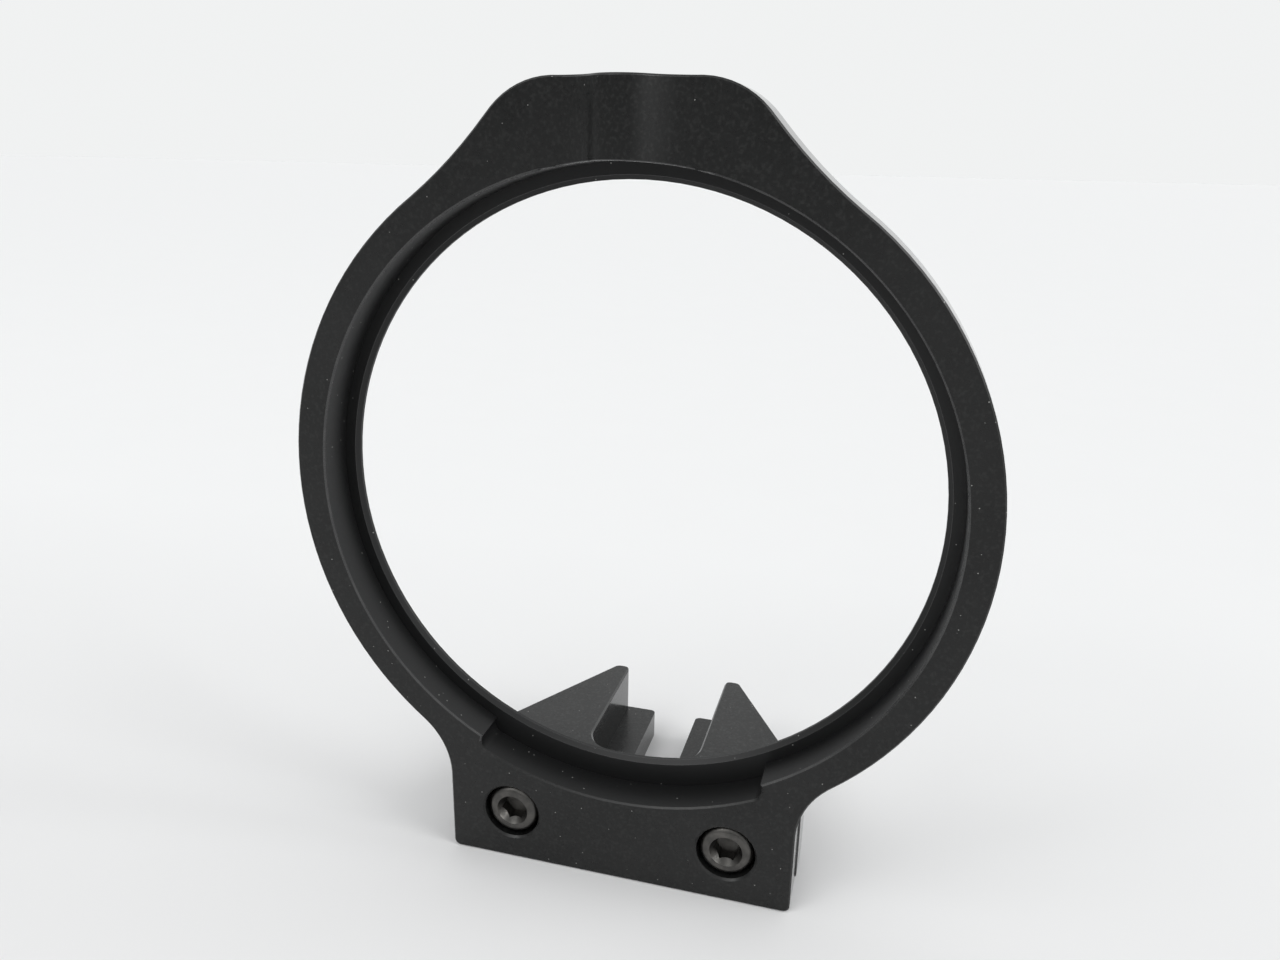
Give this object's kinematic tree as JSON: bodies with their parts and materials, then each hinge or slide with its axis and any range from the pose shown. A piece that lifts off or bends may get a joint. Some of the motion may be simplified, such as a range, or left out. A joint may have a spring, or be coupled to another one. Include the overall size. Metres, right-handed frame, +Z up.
{
  "type": "optical lens mount",
  "caption": "Upright ring mount with a stepped front seat for a round optic, a screw boss on top and a forked foot with a slot for a table screw.",
  "frame": {"origin": "on the underside, straight below the optical axis, in the plane of the shoulder the optic rests on", "axes": "+Z up, -Y out of the front along the optical axis, +X to the right seen from the front"},
  "size_m": [0.0828, 0.0373, 0.0966],
  "materials": {
    "anodised_plate": "black anodised, semi-gloss",
    "anodised_foot": "black anodised, semi-gloss",
    "cap_screws": "black oxide, satin",
    "set_screw": "black oxide, satin"
  },
  "bodies": {
    "root": {"ring_plate": "anodised_plate", "foot_block": "anodised_foot", "cap_screw_left": "cap_screws", "cap_screw_right": "cap_screws", "set_screw": "set_screw"}
  },
  "joints": []
}
